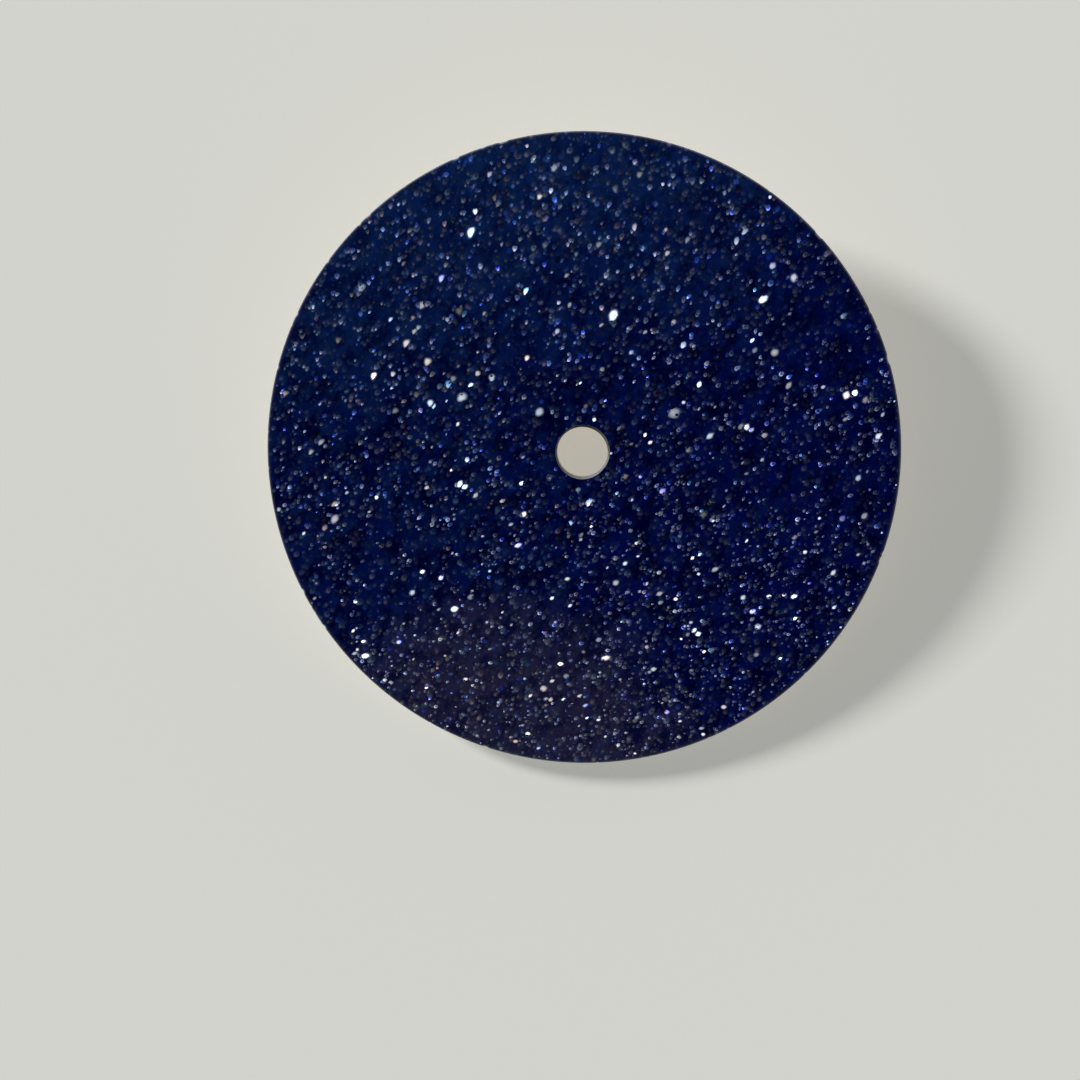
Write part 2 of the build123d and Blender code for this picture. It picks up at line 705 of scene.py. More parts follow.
@dataclass(frozen=True)
class PlateletFinish:
    """The bright crystals at the polished face, each with its own colour and lean.

    A crystal's own places run from -1 to 1, ahead along its slant and to its side. Its
    brightness is painted glint. Those at the dial's upper left stand upright and narrow to a
    painted highlight at their lower tip.
    """

    glass: DeepGlass
    grain: Grain = Grain(0.06 * MM, detail=3)
    patch: Grain = Grain(0.9 * MM, detail=3)
    # The near-white colour of a painted highlight
    painted_highlight: Colour = (1.0, 0.94, 0.91)
    warm: Colour = (1.0, 0.84, 0.74)
    cool: Colour = (0.72, 0.84, 1.0)

    # The areas of the dial
    upper_leftward: float = 0.6
    upper_band: Pair = (-0.20, 0.80)
    high_band: Pair = (0.20, 0.95)
    low_band: Pair = (-0.30, -0.75)
    right_band: Pair = (-0.15, 0.45)

    # A crystal's outline
    swing: float = 0.50
    swing_loss: float = 0.13
    point_ahead: float = 0.90
    point_behind: float = 1.05
    length_weight: float = 0.72
    ragged: float = 0.28
    core_band: Pair = (0.67, 0.49)

    # Its painted light: a fanned middle, an open ring and, at the upper left, a painted
    # highlight at the tip
    centre: float = 0.08
    filled: float = 0.46
    fan_band: Pair = (-0.45, 0.50)
    fan: float = 0.85
    ring_band: Pair = (0.20, 0.50)
    ring_side: Pair = (-0.40, 0.12)
    least_opening: float = 0.5
    ring_loss: float = 0.15
    tip_place: float = -0.30
    tip_band: Pair = (0.34, 0.06)
    tip_gain: float = 0.70

    # The few crystals with a painted highlight all over, and the painted glow round each
    solid_band: Pair = (0.90, 0.99)
    solid_glow: float = 0.3
    dome_place: float = -0.14
    dome_weight: float = 0.8
    dome_ragged: float = 0.14
    dome_band: Pair = (0.74, 0.24)
    dome_gain: float = 1.1
    least_grain: float = 0.7
    grain_gain: float = 0.6
    glow: float = 0.17

    # How bright their painted glint is, by luck and by area
    common: float = 0.51
    common_power: float = 1.6
    rare: float = 0.74
    rare_power: float = 40.0
    fade: Drift = Drift(1.0, top=-0.48, bottom=0.50)
    patch_swing: float = 2.6
    patch_least: float = 0.25
    vivid_gain: float = 1.3
    right_gain: float = 1.0

    # How they are tinted, with a painted white highlight, and how their surface shines
    faint_share: float = 0.78
    warm_share: float = 0.15
    cool_share: float = 0.55
    highlight_on_solid: float = 0.40
    highlight_on_vivid: float = 0.35
    front_ring: Pair = (0.25, 0.55)
    front_side: Pair = (-0.05, -0.45)
    cover: float = 0.25
    metal: float = 0.3
    roughness: float = 0.36
    grain_roughness: float = 0.2
    lean_band: Pair = (0.97, 0.55)

    def material(self) -> bpy.types.Material:
        """Builds the finish.

        Returns:
            The material.
        """
        surface = Surface("aventurine_platelets")
        luck, tone, reach, ring = (
            Value(surface, surface.carried(name)) for name in ("luck", "tone", "reach", "ring")
        )
        ahead, aside, _ = surface.parts(surface.carried("spot", "Vector"))
        under, _ = self.glass.colour(surface)
        grain = surface.noise(self.grain)
        across, along = surface.plan(self.glass.dial_radius)
        upper = (along - across * self.upper_leftward).eased(*self.upper_band)
        low, right = along.eased(*self.low_band), across.eased(*self.right_band)

        swing, level = upper * self.swing, 1.0 - upper * self.swing_loss
        ahead, aside = ahead * level + aside * swing, aside * level - ahead * swing
        pointed = ahead.most(0.0) * (1.0 - upper) * self.point_ahead
        narrowed = aside * (1.0 + pointed - ahead * upper * self.point_behind)
        away = distance(ahead, narrowed, self.length_weight) + grain.swung(self.ragged)
        core = away.eased(*self.core_band)

        # Painted light over each crystal: a fanned middle, a ring opened on one side and, at the
        # upper left, a bright tip
        opening = self.least_opening + ring * (1.0 - self.least_opening)
        lower = 1.0 - ahead.eased(*self.ring_side) * opening
        fan = 1.0 - ahead.eased(*self.fan_band) * self.fan
        centre = (self.centre + upper * self.filled) * fan
        edge = away.eased(*self.ring_band) * lower * (1.0 - centre)
        tip = distance(ahead - self.tip_place, narrowed).eased(*self.tip_band)
        lit = centre + edge * (1.0 - upper * self.ring_loss) + tip * upper * self.tip_gain

        # A painted dome highlight on the few solid crystals, and a painted glow round every
        # crystal
        solid = luck.eased(*self.solid_band)
        near = distance(ahead - self.dome_place, narrowed, self.dome_weight)
        dome = (near + grain.swung(self.dome_ragged)).eased(*self.dome_band)
        hollow = core * lit * (1.0 - solid) * (self.least_grain + grain * self.grain_gain)
        inner = 1.0 - reach
        halo = inner * inner * (self.glow + solid * self.solid_glow)
        shape = hollow + solid * dome * self.dome_gain + halo

        # The painted glint fades towards the top, grows towards the bottom, varies in patches
        # and is stronger in the vivid blue ones, more so to the right
        fade = self.fade.over(along.eased(*self.high_band), low, right)
        swell = (1.0 + surface.noise(self.patch).swung(self.patch_swing)).most(self.patch_least)
        light = luck**self.common_power * self.common + luck**self.rare_power * self.rare
        vivid = tone.eased(FIRST_VIVID - VIVID_STEP, FIRST_VIVID + VIVID_STEP)
        vivid = vivid * tone.eased(AFTER_VIVID + VIVID_STEP, AFTER_VIVID - VIVID_STEP)
        light = light * shape * fade * swell
        light = light * (1.0 + vivid * (self.vivid_gain + right * self.right_gain))

        plain = 1.0 - vivid
        # Painted highlight: a white spot on the solid crystals' domes and on the front of the
        # vivid ones
        front = away.eased(*self.front_ring) * ahead.eased(*self.front_side)
        painted_highlight = (solid * dome * self.highlight_on_solid + vivid * front * self.highlight_on_vivid).held()
        tint = surface.picked(tone, FLECK_TINTS)
        tint = surface.mix((1.0 - luck) * self.faint_share, tint, self.glass.faint)
        tint = surface.mix(low * plain * self.warm_share, tint, self.warm)
        tint = surface.mix(right * plain * self.cool_share, tint, self.cool)
        tint = surface.mix(painted_highlight, tint, self.painted_highlight)
        dimmed = surface.mix(core * self.cover, under, NONE)
        lean = surface.carried("lean", "Vector")
        return surface.finish(
            Base_Color=surface.glow(dimmed, tint, light),
            Metallic=core * self.metal,
            Roughness=self.roughness + grain * self.grain_roughness,
            Normal=surface.leant(lean, reach.eased(*self.lean_band)),
            Coat_Weight=1.0,
            **POLISH,
        )


@dataclass(frozen=True)
class BrassFinish:
    """Lapped sheet brass, browned a little, with a stain round each soldered foot."""

    bright: Colour = (0.68, 0.52, 0.27)
    brown: Colour = (0.36, 0.25, 0.12)
    stain: Colour = (0.30, 0.16, 0.09)
    scratched: Colour = (0.93, 0.74, 0.42)
    lapping: Grain = Grain(0.05 * MM, detail=4, scale=(0.03, 1, 1), turn=22.0)
    scratches: Grain = Grain(0.08 * MM, detail=3, scale=(0.06, 1, 1), turn=86.0)
    clouds: Grain = Grain(5 * MM, detail=5, roughness=0.6)
    stain_edge: Grain = Grain(0.8 * MM, detail=3)
    scratch_band: Pair = (0.64, 0.74)
    scratch_share: float = 0.35
    brown_band: Pair = (0.42, 0.78)
    brown_share: float = 0.55
    lapping_share: float = 0.3
    stain_reach: float = 2.6 * MM
    stain_core: float = 0.3
    stain_swing: float = 0.9 * MM
    stain_share: float = 0.65
    roughness: float = 0.30
    lapping_roughness: float = 0.18
    brown_roughness: float = 0.25
    scratch_polish: float = 0.1
    scratch_relief: float = 0.3
    relief: Pair = (0.003 * MM, 0.6)

    def material(self, feet: Sequence[Vector]) -> bpy.types.Material:
        """Builds the finish.

        Args:
            feet: Where the feet stand, for the stains.

        Returns:
            The material.
        """
        surface = Surface(Slot.BRASS.value)
        lapping = surface.noise(self.lapping)
        scratch = surface.noise(self.scratches).eased(*self.scratch_band)
        brown = surface.noise(self.clouds).eased(*self.brown_band) * self.brown_share
        colour = surface.mix(brown, self.bright, self.brown)
        colour = surface.mix(lapping * self.lapping_share, colour, self.brown)
        edge = surface.noise(self.stain_edge).swung(self.stain_swing)
        for foot in feet:
            away = surface.vectors("DISTANCE", surface.place(), tuple(foot), output="Value")
            near = Value(surface, away) + edge
            near = near.eased(self.stain_reach, self.stain_core * self.stain_reach)
            colour = surface.mix(near * self.stain_share, colour, self.stain)
        rough = self.roughness + lapping * self.lapping_roughness + brown * self.brown_roughness
        height = lapping * (1.0 - self.scratch_relief) + (1.0 - scratch) * self.scratch_relief
        return surface.finish(
            Base_Color=surface.mix(scratch * self.scratch_share, colour, self.scratched),
            Metallic=1.0,
            Roughness=rough - scratch * self.scratch_polish,
            Normal=surface.bump(height, *self.relief),
        )


@dataclass(frozen=True)
class CopperFinish:
    """Drawn copper wire with turning rings, darkened by the heat of soldering."""

    bright: Colour = (0.84, 0.44, 0.28)
    dark: Colour = (0.36, 0.15, 0.09)
    rings: Grain = Grain(0.045 * MM, detail=2, scale=(0.02, 0.02, 1))
    blotches: Grain = Grain(0.5 * MM, detail=4)
    cool_from: float = 0.75
    heat_share: float = 0.55
    blotch_band: Pair = (0.45, 0.75)
    blotch_share: float = 0.35
    roughness: float = 0.26
    blotch_roughness: float = 0.22
    relief: Pair = (0.004 * MM, 0.7)

    def material(self, seat: float, tip: float) -> bpy.types.Material:
        """Builds the finish.

        Args:
            seat: The height of the foot's root.
            tip: The height of its tip.

        Returns:
            The material.
        """
        surface = Surface(Slot.COPPER.value)
        blotch = surface.noise(self.blotches)
        _, _, height = surface.parts(surface.place())
        heat = height.eased(tip * self.cool_from, seat) * self.heat_share
        dark = (heat + blotch.eased(*self.blotch_band) * self.blotch_share).held()
        return surface.finish(
            Base_Color=surface.mix(dark, self.bright, self.dark),
            Metallic=1.0,
            Roughness=self.roughness + blotch * self.blotch_roughness,
            Normal=surface.bump(surface.noise(self.rings), *self.relief),
        )


@dataclass(frozen=True)
class SolderFinish:
    """Bright tin solder, frosty in patches, with a brown film of flux at its foot."""

    bright: Colour = (0.66, 0.66, 0.63)
    frosted: Colour = (0.44, 0.44, 0.43)
    flux: Colour = (0.24, 0.15, 0.06)
    frost: Grain = Grain(0.12 * MM, detail=4)
    blotches: Grain = Grain(0.45 * MM, detail=3)
    frost_band: Pair = (0.4, 0.7)
    flux_band: Pair = (-0.12 * MM, 0.0)
    blotch_band: Pair = (0.35, 0.6)
    flux_share: float = 0.8
    flux_dulling: float = 0.8
    roughness: float = 0.22
    frost_roughness: float = 0.3
    relief: Pair = (0.008 * MM, 0.6)

    def material(self) -> bpy.types.Material:
        """Builds the finish.

        Returns:
            The material.
        """
        surface = Surface(Slot.SOLDER.value)
        frost = surface.noise(self.frost)
        blotch = surface.noise(self.blotches).eased(*self.blotch_band)
        _, _, height = surface.parts(surface.place())
        film = height.eased(*self.flux_band) * blotch * self.flux_share
        colour = surface.mix(frost.eased(*self.frost_band), self.bright, self.frosted)
        return surface.finish(
            Base_Color=surface.mix(film, colour, self.flux),
            Metallic=1.0 - film * self.flux_dulling,
            Roughness=self.roughness + frost * self.frost_roughness,
            Normal=surface.bump(frost, *self.relief),
        )


@dataclass(frozen=True)
class AdhesiveFinish:
    """A cured amber film."""

    amber: Colour = (0.42, 0.30, 0.14)
    cloudy: Colour = (0.62, 0.54, 0.40)
    clouds: Grain = Grain(0.6 * MM, detail=4)
    cloud_band: Pair = (0.35, 0.7)
    roughness: float = 0.35
    cloud_roughness: float = 0.2
    relief: Pair = (0.01 * MM, 0.5)

    def material(self) -> bpy.types.Material:
        """Builds the finish.

        Returns:
            The material.
        """
        surface = Surface(Slot.ADHESIVE.value)
        cloud = surface.noise(self.clouds)
        return surface.finish(
            Base_Color=surface.mix(cloud.eased(*self.cloud_band), self.amber, self.cloudy),
            Roughness=self.roughness + cloud * self.cloud_roughness,
            Normal=surface.bump(cloud, *self.relief),
        )


# The pieces


def dress(node: Node, material: bpy.types.Material) -> None:
    """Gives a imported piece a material, leaving its mesh alone.

    Args:
        node: The piece.
        material: What it is made of.
    """
    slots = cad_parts[node.value].material_slots
    if not slots:
        raise RuntimeError(f"{node.value} has no material slot to fill")
    for material_slot in slots:
        material_slot.material = material
    LOG.info("dressed %s with %s", node.value, material.name)


def new_piece(name: str, mesh: bpy.types.Mesh) -> bpy.types.Object:
    """Links a mesh to the scene as an object at the origin.

    Args:
        name: The object's name.
        mesh: Its mesh, already in place.

    Returns:
        The object.
    """
    piece = bpy.data.objects.new(name, mesh)
    bpy.context.scene.collection.objects.link(piece)
    return piece


def on_circle(radius: float, angle: float, height: float) -> Triple:
    """A point at an angle round the dial's axis."""
    return radius * math.cos(angle), radius * math.sin(angle), height


def spun_faces(steps: int, rows: int, closed: bool) -> list[tuple[int, int, int, int]]:
    """The faces of a section that is spun round the dial's axis.

    Args:
        steps: How many times the section stands round the axis.
        rows: How many points it has.
        closed: Whether its last point joins its first.

    Returns:
        Each face's corners.
    """
    faces = []
    for step in range(steps):
        here, there = step * rows, (step + 1) % steps * rows
        for row in range(rows if closed else rows - 1):
            after = (row + 1) % rows
            faces.append((here + row, here + after, there + after, there + row))
    return faces


@dataclass
class Chip:
    """One small shell-shaped chip at the rim."""

    angle: float
    width: float
    depth: float


@dataclass
class GlassDisc:
    """The polished glass: fine bevels, tiny rim chips, a hole ground wider on one side."""

    outer: float
    hole: float
    low: float
    face: float
    rim_bevel: float = 0.06 * MM
    hole_bevel: float = 0.05 * MM
    wide_share: float = 1.3
    wide_bearing: float = 50.0
    back_bevel: float = 0.03 * MM
    polished_from: float = 0.01 * MM
    chips_from: Pair = (2.8, 2.2)
    chips_end: float = 3.0
    segments: int = 1440
    sharp_angle: float = 25.0
    chip_count: int = 34
    chip_seed: int = 7
    chip_rarity: float = 2.5
    chip_width: Pair = (0.05 * MM, 0.21 * MM)
    chip_depth: Pair = (0.012 * MM, 0.052 * MM)
    chip_sink: float = 0.35
    frosting_depth: float = 0.06 * MM
    most_frosting: float = 0.6

    def chips(self) -> list[Chip]:
        """Scatters the chips round the rim, most of them very small.

        Returns:
            The chips.
        """
        draw = random.Random(self.chip_seed)
        chips = []
        for _ in range(self.chip_count):
            size = draw.random() ** self.chip_rarity
            spans = self.chip_width, self.chip_depth
            width, depth = (least + size * (most - least) for least, most in spans)
            chips.append(Chip(draw.uniform(0, math.tau), width, depth))
        return chips

    def bite(self, chips: Sequence[Chip], angle: float) -> float:
        """How deep the chips cut the rim at an angle.

        Args:
            chips: The chips.
            angle: Where round the disc it lies.

        Returns:
            The depth, in metres.
        """
        deepest = 0.0
        for chip in chips:
            apart = abs(math.remainder(angle - chip.angle, math.tau)) * self.outer / chip.width
            if apart < 1:
                deepest = max(deepest, chip.depth * math.sqrt(1 - apart * apart))
        return deepest

    def profile(self, angle: float) -> list[tuple[float, float, float, float]]:
        """The disc's section, from the hole's lower edge round to it again.

        Args:
            angle: Where round the disc it lies.

        Returns:
            For each row: radius, height, how much of a chip's bite moves it, and how
            frosted it is.
        """
        wide = max(0.0, math.cos(angle - math.radians(self.wide_bearing))) * self.wide_share
        wall, edge, face, rim = self.hole, self.outer, self.face, self.rim_bevel
        bevel, back = self.hole_bevel * (1.0 + wide), self.low + self.back_bevel
        return [
            (wall, back, 0.0, 1.0),
            (wall, face - bevel, 0.0, 1.0),
            (wall + bevel, face, 0.0, 0.9),
            (wall + bevel + self.polished_from, face, 0.0, 0.0),
            *((edge - share * rim, face, 0.0, 0.0) for share in self.chips_from),
            (edge - rim, face, 0.75, 0.0),
            (edge, face - rim, 1.0, 0.1),
            (edge, face - self.chips_end * rim, 0.45, 0.25),
            (edge, back, 0.0, 0.3),
            (edge - self.back_bevel, self.low, 0.0, 0.3),
            (wall + self.back_bevel, self.low, 0.0, 0.3),
        ]

    def mesh(self) -> bpy.types.Mesh:
        """Spins the section into a closed ring.

        Returns:
            The mesh, with the frosted places in its "ground" attribute.
        """
        chips = self.chips()
        points: list[Triple] = []
        ground: list[float] = []
        for step in range(self.segments):
            angle = math.tau * step / self.segments
            bite = self.bite(chips, angle)
            for radius, height, share, frost in self.profile(angle):
                cut = share * bite
                points.append(on_circle(radius - cut, angle, height - self.chip_sink * cut))
                ground.append(max(frost, min(self.most_frosting, cut / self.frosting_depth)))
        faces = spun_faces(self.segments, len(self.profile(0.0)), closed=True)
        mesh = bpy.data.meshes.new("aventurine_glass_disc")
        mesh.from_pydata(points, [], faces)
        mesh.polygons.foreach_set("use_smooth", [True] * len(faces))
        mesh.set_sharp_from_angle(angle=math.radians(self.sharp_angle))
        layer = mesh.attributes.new("ground", "FLOAT", "POINT")
        layer.data.foreach_set("value", ground)
        mesh.update()
        return mesh

    def build(self, finish: AventurineFinish) -> bpy.types.Object:
        """Makes the glass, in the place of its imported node.

        Args:
            finish: Its finish.

        Returns:
            The piece.
        """
        mesh = self.mesh()
        mesh.materials.append(finish.material())
        piece = new_piece("aventurine_glass_disc", mesh)
        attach(piece, BODY)
        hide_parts(Node.GLASS.value)
        LOG.info("built %s with %d chips", piece.name, self.chip_count)
        return piece


class Kind(Enum):
    """The kinds of random value, in the order of the node's own sockets."""

    VECTOR = "FLOAT_VECTOR"
    NUMBER = "FLOAT"
    COUNT = "INT"


class NodeGroup(Tree):
    """A Geometry Nodes tree under construction."""

    def __init__(self, name: str) -> None:
        """Starts a tree with a geometry input and output.

        Args:
            name: The tree's name.
        """
        self.group = bpy.data.node_groups.new(name, "GeometryNodeTree")
        super().__init__(self.group)
        for way in ("INPUT", "OUTPUT"):
            self.group.interface.new_socket(
                "Geometry", in_out=way, socket_type="NodeSocketGeometry"
            )
        self.given = self.node("NodeGroupInput")
        self.identifiers: dict[str, str] = {}

    def size(self, name: str) -> Value:
        """Adds a named number to the tree's inputs.

        Args:
            name: The input's name.

        Returns:
            The number, as a value inside the tree.
        """
        made = self.group.interface.new_socket(
            name, in_out="INPUT", socket_type="NodeSocketFloat"
        )
        self.identifiers[name] = made.identifier
        plugs = {plug.identifier: plug for plug in self.given.outputs}
        return Value(self, plugs[made.identifier])

    def random(self, kind: Kind, low: Any, high: Any, seed: int) -> Plug:
        """A random value for each point or instance.

        Args:
            kind: What kind of value it is.
            low: The least.
            high: The most.
            seed: The seed.

        Returns:
            The value's socket.
        """
        place = list(Kind).index(kind)
        sockets = {2 * place: low, 2 * place + 1: high, "Seed": seed}
        made = self.node("FunctionNodeRandomValue", {"data_type": kind.value}, sockets)
        return made.outputs[place]

    def drawn(self, low: float, high: float, seed: int) -> Value:
        """A random number for each point or instance."""
        return Value(self, self.random(Kind.NUMBER, low, high, seed))

    def stored(self, geometry: Plug, name: str, value: Any, **settings: str) -> Plug:
        """A geometry that carries a value under a name.

        Args:
            geometry: The geometry.
            name: The name.
            value: The value.
            settings: The node's data_type and domain, where they aren't its own.

        Returns:
            The geometry's socket.
        """
        sockets = {"Geometry": geometry, "Name": name, "Value": value}
        return self.node("GeometryNodeStoreNamedAttribute", settings, sockets).outputs[0]

    def close(self, geometry: Plug) -> None:
        """Links the geometry that the tree gives back."""
        self.node("NodeGroupOutput", None, {0: geometry})


class Draw(IntEnum):
    """What each random number of a crystal decides, as what it adds to the seed."""

    SIZE = 1
    SLIMNESS = 2
    SPIN = 3
    CORNERS = 4
    LUCK = 5
    TONE = 6
    LEAN = 7
    HEIGHT = 8
    RING = 9


@dataclass
class PlateletField:
    """The bright crystals that lie in the polished face, scattered by Geometry Nodes."""

    outer: float
    hole: float
    low: float
    high: float
    per_square_mm: float = 8.2
    smallest: float = 0.092 * MM
    largest: float = 0.200 * MM
    smallness: float = 1.8
    slimness: Pair = (0.55, 0.95)
    heights: Pair = (0.6, 1.0)
    margin: float = 0.065 * MM
    least_room: float = 0.05 * MM
    corner_counts: tuple[int, ...] = (5, 6, 7, 4, 6)
    tail: float = 0.28
    clump: float = 0.7 * MM
    clump_noise: Pair = (0.36, 0.64)
    clump_density: Pair = (0.22, 1.85)
    growth: float = 0.28
    flare: float = 1.10
    flare_sharpness: float = 31.0
    thinning: float = 0.56
    rightward: float = 0.27
    slant: float = 41.0
    slant_rise: float = 28.0
    slant_spread: float = 22.0
    least_lean: Triple = (-0.80, -0.20, -0.10)
    most_lean: Triple = (0.20, 0.64, 0.10)
    carrier_steps: int = 256
    seed: int = 20

    def sizes(self) -> dict[str, float]:
        """The scattering tree's named inputs, in order."""
        return {
            "Crystals per square metre": self.per_square_mm / MM**2,
            "Smallest radius": self.smallest,
            "Largest radius": self.largest,
            "Clump size": self.clump,
            "Greatest height": self.high - self.low,
            "Growth towards the top": self.growth,
            "Thinning towards the top": self.thinning,
            "Gathering towards the right": self.rightward,
        }

    def carrier(self) -> bpy.types.Mesh:
        """The flat ring that the crystals are scattered on.

        Returns:
            Its mesh.
        """
        room = self.margin + self.least_room
        radii = (self.hole + room, self.outer - room)
        angles = [math.tau * step / self.carrier_steps for step in range(self.carrier_steps)]
        points = [on_circle(radius, angle, self.low) for angle in angles for radius in radii]
        mesh = bpy.data.meshes.new("platelet_carrier")
        mesh.from_pydata(points, [], spun_faces(self.carrier_steps, len(radii), closed=False))
        return mesh

    def shape(self, group: NodeGroup, corners: int) -> Plug:
        """One crystal of unit size: a closed low cone, its tip drawn to one side.

        Args:
            group: The tree.
            corners: How many corners it has.

        Returns:
            The crystal, with its "reach" growing from 0 at the tip to 1 at the rim and
            each point's place on it in "spot".
        """
        cone = {"Vertices": corners, "Radius Top": 0.0, "Radius Bottom": 1.0, "Depth": 1.0}
        solid = group.node("GeometryNodeMeshCone", {"fill_type": "NGON"}, cone).outputs[0]
        place = group.node("GeometryNodeInputPosition").outputs[0]
        _, _, height = group.parts(place)
        kept = group.stored(solid, "reach", 1.0 - height, data_type="FLOAT")
        tail = {"Geometry": kept, "Selection": height > 0.5, "Offset": (-self.tail, 0.0, 0.0)}
        moved = group.node("GeometryNodeSetPosition", None, tail).outputs[0]
        return group.stored(moved, "spot", place, data_type="FLOAT_VECTOR")

    def shapes(self, group: NodeGroup) -> Plug:
        """The crystals to pick from.

        Args:
            group: The tree.

        Returns:
            One instance of each shape.
        """
        picks = group.node("GeometryNodeGeometryToInstance")
        for corners in reversed(self.corner_counts):
            group.links.new(self.shape(group, corners), picks.inputs[0])
        return picks.outputs[0]

    def density(self, group: NodeGroup, place: Plug, clump: Value) -> Value:
        """How the crystals gather in clumps.

        Args:
            group: The tree.
            place: The places of the carrier's points.
            clump: The size of a clump.

        Returns:
            What the number of crystals is multiplied by.
        """
        patch = {"Vector": place, "Scale": 1.0 / clump, "Detail": 2.0}
        noise = group.node("ShaderNodeTexNoise", None, patch).outputs[0]
        names = ("From Min", "From Max", "To Min", "To Max")
        contrast = dict(zip(names, self.clump_noise + self.clump_density, strict=True))
        made = group.node("ShaderNodeMapRange", None, {"Value": noise, **contrast})
        return Value(group, made.outputs[0])

    def tree(self, material: bpy.types.Material) -> NodeGroup:
        """Builds the scattering tree.

        Args:
            material: The crystals' material.

        Returns:
            The tree, with the identifiers of its named inputs.
        """
        group = NodeGroup("platelet_field")
        density, smallest, largest, clump, tallest, growth, thinning, rightward = (
            group.size(name) for name in self.sizes()
        )
        place = group.node("GeometryNodeInputPosition").outputs[0]
        x, y, _ = group.parts(place)
        right, up = x / self.outer, y / self.outer
        thin = right.from_start(1.0 - up * thinning, rightward)
        spots = {
            "Mesh": group.given.outputs[0],
            "Density": density * self.density(group, place, clump) * thin,
            "Seed": self.seed,
        }
        scattered = group.node("GeometryNodeDistributePointsOnFaces", None, spots)

        share = group.drawn(0.0, 1.0, self.seed + Draw.SIZE) ** self.smallness
        free = share.from_start(smallest, largest - smallest) * up.from_start(1.0, growth)
        luck = group.drawn(0.0, 1.0, self.seed + Draw.LUCK)
        wide = free * (luck**self.flare_sharpness).from_start(1.0, self.flare)
        flat = group.vectors("MULTIPLY", place, (1.0, 1.0, 0.0))
        middle = Value(group, group.vectors("LENGTH", flat, output="Value"))
        outside = (self.outer - self.margin) - middle
        inside = middle - (self.hole + self.margin)
        radius = wide.least(outside.least(inside))
        slim = radius * group.drawn(*self.slimness, self.seed + Draw.SLIMNESS)
        height = tallest * group.drawn(*self.heights, self.seed + Draw.HEIGHT)
        slants = (math.radians(self.slant + side * self.slant_spread) for side in (-1, 1))
        spin = group.drawn(*slants, self.seed + Draw.SPIN)
        spin = up.from_start(spin, math.radians(self.slant_rise))
        last = len(self.corner_counts) - 1
        placing = {
            "Points": scattered.outputs[0],
            "Instance": self.shapes(group),
            "Pick Instance": True,
            "Instance Index": group.random(Kind.COUNT, 0, last, self.seed + Draw.CORNERS),
            "Rotation": group.joined(0.0, 0.0, spin),
            "Scale": group.joined(radius, slim, height),
        }
        placed = group.node("GeometryNodeInstanceOnPoints", None, placing).outputs[0]

        for draw in (Draw.LUCK, Draw.TONE, Draw.RING):
            number = group.drawn(0.0, 1.0, self.seed + draw)
            name = draw.name.lower()
            placed = group.stored(placed, name, number, data_type="FLOAT", domain="INSTANCE")
        lean = group.random(Kind.VECTOR, self.least_lean, self.most_lean, self.seed + Draw.LEAN)
        placed = group.stored(placed, "lean", lean, data_type="FLOAT_VECTOR", domain="INSTANCE")
        real = group.node("GeometryNodeRealizeInstances", None, {0: placed}).outputs[0]
        dressed = {"Geometry": real, "Material": material}
        group.close(group.node("GeometryNodeSetMaterial", None, dressed).outputs[0])
        return group

    def build(self, finish: PlateletFinish) -> bpy.types.Object:
        """Scatters the crystals and turns them into a plain mesh.

        Args:
            finish: Their finish.

        Returns:
            The piece.
        """
        scattering = self.tree(finish.material())
        source = new_piece("platelet_source", self.carrier())
        modifier = source.modifiers.new("scatter", "NODES")
        modifier.node_group = scattering.group
        for name, number in self.sizes().items():
            modifier[scattering.identifiers[name]] = number
        graph = bpy.context.evaluated_depsgraph_get()
        mesh = bpy.data.meshes.new_from_object(source.evaluated_get(graph))
        source.modifiers.remove(modifier)
        bpy.data.objects.remove(source)
        mesh.name = "aventurine_platelets"
        piece = new_piece("aventurine_platelets", mesh)
        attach(piece, BODY)
        heights = [corner.co.z for corner in mesh.vertices]
        found = piece.name, len(mesh.polygons), min(heights), max(heights)
        LOG.info("scattered %s with %d faces, from z = %.7f to %.7f", *found)
        return piece


@dataclass
class DialBack:
    """The brass plate, its adhesive, the two feet and their solder, as packed."""

    brass: BrassFinish = BrassFinish()
    copper: CopperFinish = CopperFinish()
    solder: SolderFinish = SolderFinish()
    adhesive: AdhesiveFinish = AdhesiveFinish()

    def build(self) -> None:
        """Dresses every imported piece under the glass."""
        feet = []
        for foot in (Node.FOOT_LEFT, Node.FOOT_RIGHT):
            low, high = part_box(foot.value)
            feet.append(Vector(((low.x + high.x) / 2, (low.y + high.y) / 2, 0.0)))
        dress(Node.PLATE, self.brass.material(feet))
        dress(Node.FILM, self.adhesive.material())
        copper = self.copper.material(high.z, low.z)
        solder = self.solder.material()
        for foot in (Node.FOOT_LEFT, Node.FOOT_RIGHT):
            dress(foot, copper)
        for joint in (Node.SOLDER_LEFT, Node.SOLDER_RIGHT):
            dress(joint, solder)


# The stage


